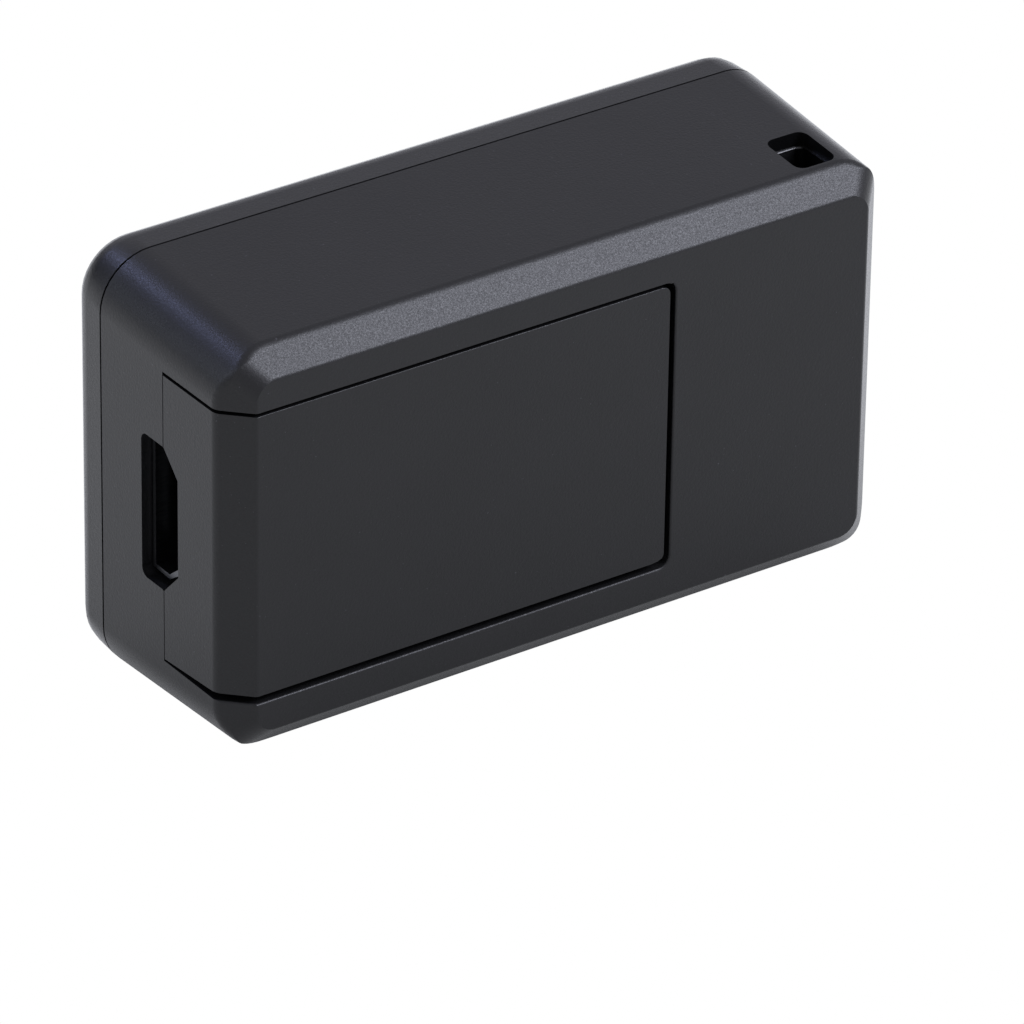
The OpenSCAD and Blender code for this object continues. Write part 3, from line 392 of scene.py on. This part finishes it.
def rounding_planes(node, radius_of, steps=7):
    """Planes that touch the roundings of a node's outer edges, each with its normal, its distance
    from the origin and the turn of its rounding."""
    bm = merged(node)
    join_flats(bm)
    outer = {face for face in outer_faces(bm) if face.normal.y < 0.5}
    planes = {}
    for edge in bm.edges:
        pair = edge.link_faces
        if len(pair) != 2 or not set(pair) <= outer or edge.calc_face_angle() < EDGE_ANGLE:
            continue
        radius = radius_of(pair) * MM
        if radius == 0.0:
            continue
        one, two = (face.normal.normalized() for face in pair)
        # The axis of the rounding lies one radius inside both faces
        depth_one = one.dot(edge.verts[0].co) - radius
        depth_two = two.dot(edge.verts[0].co) - radius
        along = one.dot(two)
        inward = (one + two) * radius / (1 + along)
        turn = {"axis": edge.verts[0].co - inward, "way": one.cross(two).normalized(),
                "one": one, "two": two, "step": 1 / (steps + 1)}
        for step in range(1, steps + 1):
            normal = one.slerp(two, step / (steps + 1))
            share_two = (normal.dot(two) - along * normal.dot(one)) / (1 - along * along)
            share_one = normal.dot(one) - along * share_two
            distance = share_one * depth_one + share_two * depth_two + radius
            # Edges whose faces look the same ways share their planes
            planes[tuple(round(value, 3) for value in normal)] = (normal, distance, turn)
    bm.free()
    return list(planes.values())


def trim(bm, planes):
    """Cuts off what stands in front of each plane and closes the cut."""
    for plane in planes:
        normal, distance = plane[:2]
        if max(vert.co.dot(normal) for vert in bm.verts) < distance + WELD:
            continue
        parts = list(bm.verts) + list(bm.edges) + list(bm.faces)
        bmesh.ops.bisect_plane(bm, geom=parts, dist=CUT, plane_co=normal * distance,
                               plane_no=normal, clear_outer=True)
        bmesh.ops.holes_fill(bm, edges=[edge for edge in bm.edges if edge.is_boundary])


def at_mouth(face, wall, outer):
    """Whether a face of the front or its end chamfers meets a wall of the card bay, at the sill or
    the far side of the bay's mouth."""
    in_front = face.normal.y < -0.6 and abs(face.normal.z) < 0.01
    into_bay = abs(wall.normal.y) < 0.01 and wall not in outer
    along_top = wall.normal.z < -0.9
    return in_front and into_bay and not along_top


def break_mouth(bm):
    """Breaks the sharp edges of the card bay's mouth, apart from the one along its top."""
    outer = outer_faces(bm)
    picked = []
    for edge in bm.edges:
        pair = list(edge.link_faces)
        if len(pair) == 2 and edge.is_convex and (at_mouth(*pair, outer) or at_mouth(*pair[::-1], outer)):
            picked.append(edge)
    bmesh.ops.bevel(bm, geom=picked, offset=MOUTH_BREAK * MM, affect="EDGES", segments=4, profile=0.5,
                    material=-1)


def turned(point, turn):
    """The direction in which a rounding faces at a point, from one of its flats to the other."""
    out = point - turn["axis"]
    out -= out.project(turn["way"])
    share = turn["one"].angle(out) / turn["one"].angle(turn["two"])
    if turn["one"].cross(out).dot(turn["way"]) < 0:
        share = 0.0
    # The facets leave out half a step at each end of the arc
    share = (share - turn["step"] / 2) / (1 - turn["step"])
    return turn["one"].slerp(turn["two"], min(max(share, 0.0), 1.0))


def meeting(mesh, face, vertex, around):
    """The faces that meet at a corner, or at the one just beside it where a cut left it alone."""
    if len(around[vertex]) == 1:
        place = mesh.vertices[vertex].co
        for other in face.vertices:
            if len(around[other]) > 1 and (mesh.vertices[other].co - place).length < SNAP:
                return around[other]
    return around[vertex]


def blended(face, neighbours, flats):
    """The direction in which a curved strip faces at a corner: as the flat there, or the mean."""
    close = [other for other in neighbours if other.normal.angle(face.normal) < SHARP_ANGLE]
    close_flats = [other for other in close if other.index in flats]
    ways = []
    for other in close_flats or close:
        if all(other.normal.angle(way) > SAME_ANGLE for way in ways):
            ways.append(other.normal)
    return sum(ways, Vector()).normalized()


def turn_of(face, planes):
    """The turn of the rounding that a face belongs to, or None."""
    for normal, distance, turn in planes[::-1]:
        same_way = face.normal.dot(normal) > math.cos(SAME_ANGLE)
        if same_way and abs(face.center.dot(normal) - distance) < SAME_PLANE:
            return turn
    return None


def wide(mesh, face):
    """Whether a face is too wide to be a strip of a curve."""
    reach = max((mesh.vertices[vertex].co - face.center).length for vertex in face.vertices)
    return face.area > 2 * reach * STRIP_WIDTH


def even_normals(mesh, planes):
    """Corner normals that keep each flat flat and turn evenly across curved strips and roundings."""
    found = {face.index: turn_of(face, planes) for face in mesh.polygons}
    turns = {index: turn for index, turn in found.items() if turn}
    flats = {face.index for face in mesh.polygons if wide(mesh, face)}
    around = {vertex.index: [] for vertex in mesh.vertices}
    for face in mesh.polygons:
        if face.index not in turns:
            for vertex in face.vertices:
                around[vertex].append(face)
    normals = [None] * len(mesh.loops)
    for face in mesh.polygons:
        for corner in face.loop_indices:
            vertex = mesh.loops[corner].vertex_index
            if face.index in turns:
                normals[corner] = turned(mesh.vertices[vertex].co, turns[face.index])
            elif face.index in flats:
                normals[corner] = face.normal
            else:
                normals[corner] = blended(face, meeting(mesh, face, vertex, around), flats)
    mesh.normals_split_custom_set([tuple(normal) for normal in normals])


def paint_slot_wall_shade(piece, middle, half):
    """Gives the walls of an opening in the top a smooth finish whose dark colour is painted shade."""
    piece.data.materials.append(SLOT_WALL_PAINTED_SHADE)
    for face in piece.data.polygons:
        off = face.center - middle
        level = abs(face.normal.z) > 0.95
        if not level and all(abs(off[axis]) < half[axis] for axis in range(3)):
            face.material_index = 1


def rounded(node, name, body, planes):
    """A moulded piece with its outer edges rounded, as the tool leaves them."""
    bm = merged(node)
    join_flats(bm)
    if node == "main_shell":
        break_mouth(bm)
    trim(bm, planes)
    bmesh.ops.remove_doubles(bm, verts=bm.verts, dist=WELD)
    join_flats(bm)
    bmesh.ops.recalc_face_normals(bm, faces=bm.faces)
    # The operators leave the order of points and faces to chance, so it is set here
    bm.verts.sort(key=lambda vert: vert.co.dot(ORDER_WAY))
    bm.faces.sort(key=lambda face: face.calc_center_median().dot(ORDER_WAY))
    mesh = bpy.data.meshes.new(name)
    bm.to_mesh(mesh)
    bm.free()
    piece = bpy.data.objects.new(name, mesh)
    bpy.context.collection.objects.link(piece)
    mesh.shade_smooth()
    mesh.set_sharp_from_angle(angle=SHARP_ANGLE)
    even_normals(mesh, planes)
    paint(piece, FINISHES[node])
    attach(piece, body)
    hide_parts(node)
    return piece


for node, material in FINISHES.items():
    paint(NODES[node], material)

outer_rounding = rounding_planes("main_shell", housing_radius)
door_rounding = rounding_planes("bay_cover", door_radius, steps=2)
housing = rounded("main_shell", "moulded_housing", "housing", outer_rounding)
# The walls of the strap slot are coloured near black as painted shade
strap_mouth = Vector(MOUNTS["strap_slot"]) - Vector((0, 0, STRAP_DEPTH))
paint_slot_wall_shade(housing, strap_mouth, STRAP_HALF)
rounded("back_plate", "magnet_back", "housing", [])
# The door carries the housing's slanted edges on, so it gets the same roundings
rounded("bay_cover", "card_door", "cover", outer_rounding + door_rounding)


# Camera and light


def set_camera():
    """The photograph's view: a long lens before the card door, well round to the socket end and well
    above the body."""
    turn = math.radians(-34.19)
    rise = math.radians(29.95)
    roll = math.radians(0.83)
    target = Vector((0.205, -0.43, 11.82)) * MM
    distance = 447.4 * MM
    # The lens and the middle of the view, in the photograph's own pixels
    image_px = 1024
    focal_px = 8949.2
    centre_x_px = 492.0
    centre_y_px = 402.6
    back_way = Vector((math.sin(turn) * math.cos(rise), -math.cos(turn) * math.cos(rise), math.sin(rise)))
    right = Vector((math.cos(turn), math.sin(turn), 0))
    up = back_way.cross(right)
    side = math.cos(roll) * right + math.sin(roll) * up
    top = -math.sin(roll) * right + math.cos(roll) * up
    data = bpy.data.cameras.new("photo_camera")
    data.sensor_fit = "HORIZONTAL"
    data.sensor_width = 36.0
    data.lens = focal_px / image_px * data.sensor_width
    data.shift_x = 0.5 - centre_x_px / image_px
    data.shift_y = centre_y_px / image_px - 0.5
    data.clip_start = 0.01
    data.clip_end = 20
    camera = bpy.data.objects.new("photo_camera", data)
    rotation = Matrix((side, top, back_way)).transposed().to_4x4()
    camera.matrix_world = Matrix.Translation(target + back_way * distance) @ rotation
    bpy.context.collection.objects.link(camera)
    bpy.context.scene.camera = camera


def soft_light(name, place, size, power, colour):
    """A square soft box at a place, facing the tracker."""
    aim = Vector((0, 0, 0.01))
    data = bpy.data.lights.new(name, "AREA")
    data.shape = "SQUARE"
    data.size = size
    data.energy = power
    data.color = linear(colour)[:3]
    lamp = bpy.data.objects.new(name, data)
    lamp.location = place
    lamp.rotation_euler = (Vector(place) - aim).to_track_quat("Z", "Y").to_euler()
    bpy.context.collection.objects.link(lamp)


def set_sweep():
    """White paper under the tracker: white to the eye, and mirrored a little darker where the tracker
    shades it."""
    material = bpy.data.materials.new("matt_white_sweep_paper")
    material.use_nodes = True
    tree = material.node_tree
    shader = tree.nodes["Principled BSDF"]
    shader.inputs["Base Color"].default_value = linear("#b9b9bb")
    shader.inputs["Roughness"].default_value = 0.9
    path = add(tree, "ShaderNodeLightPath")
    shade = add(tree, "ShaderNodeAmbientOcclusion",
                {"samples": 6, "Distance": 40 * MM, "Color": linear("#f6f8ff")})
    mirrored = add(tree, "ShaderNodeEmission", {"Strength": 1.07}, Color=shade.outputs["Color"])
    glow = add(tree, "ShaderNodeEmission", {"Color": (1, 1, 1, 1), "Strength": 1.0})
    lit = add(tree, "ShaderNodeMixShader", i0=path.outputs["Is Glossy Ray"],
              i1=shader.outputs["BSDF"], i2=mirrored.outputs["Emission"])
    seen = add(tree, "ShaderNodeMixShader", i0=path.outputs["Is Camera Ray"],
               i1=lit.outputs["Shader"], i2=glow.outputs["Emission"])
    tree.links.new(seen.outputs["Shader"], tree.nodes["Material Output"].inputs["Surface"])
    bm = bmesh.new()
    bmesh.ops.create_grid(bm, x_segments=1, y_segments=1, size=SWEEP_HALF)
    mesh = bpy.data.meshes.new("sweep")
    bm.to_mesh(mesh)
    bm.free()
    mesh.materials.append(material)
    floor = bpy.data.objects.new("sweep", mesh)
    bpy.context.collection.objects.link(floor)


def set_studio():
    """The room: white to the eye, dim on matt faces, and a pale cloth tent in what gloss mirrors."""
    world = bpy.data.worlds.new("studio")
    world.use_nodes = True
    bpy.context.scene.world = world
    tree = world.node_tree
    tree.nodes.clear()
    path = add(tree, "ShaderNodeLightPath")
    either = add(tree, "ShaderNodeMath", {"operation": "MAXIMUM"}, i0=path.outputs["Is Camera Ray"],
                 i1=path.outputs["Is Transmission Ray"])
    white = add(tree, "ShaderNodeBackground", {"Color": (1, 1, 1, 1), "Strength": 1.0})
    room = add(tree, "ShaderNodeBackground", {"Color": linear("#e4e4ea"), "Strength": 0.3})
    # The tent is open low at the back left, which darkens the foot of the upright corner's sheen
    opening = Vector((-0.69, 0.72, 0.05)).normalized()
    way = add(tree, "ShaderNodeTexCoord").outputs["Generated"]
    nearness = add(tree, "ShaderNodeVectorMath", {"operation": "DOT_PRODUCT"}, i0=way, i1=opening)
    cloth = ramp(tree, nearness.outputs["Value"], 0.65, 0.95, "#c9c9d3", "#15161a")
    tent = add(tree, "ShaderNodeBackground", {"Strength": 1.0}, Color=cloth)
    lit = add(tree, "ShaderNodeMixShader", i0=path.outputs["Is Glossy Ray"],
              i1=room.outputs["Background"], i2=tent.outputs["Background"])
    mixed = add(tree, "ShaderNodeMixShader", i0=either.outputs["Value"],
                i1=lit.outputs["Shader"], i2=white.outputs["Background"])
    add(tree, "ShaderNodeOutputWorld", Surface=mixed.outputs["Shader"])


set_camera()
set_sweep()
set_studio()
soft_light("key_box", place=(0.26, -0.27, 0.34), size=0.24, power=2.75, colour="#edf0ff")
soft_light("left_box", place=(-0.4, 0.22, 0.2), size=0.25, power=0.5, colour="#e2eaff")
soft_light("corner_box", place=(-0.14, 0.358, 0.329), size=0.05, power=0.4, colour="#b4bff8")
bpy.context.scene.view_settings.view_transform = "Standard"
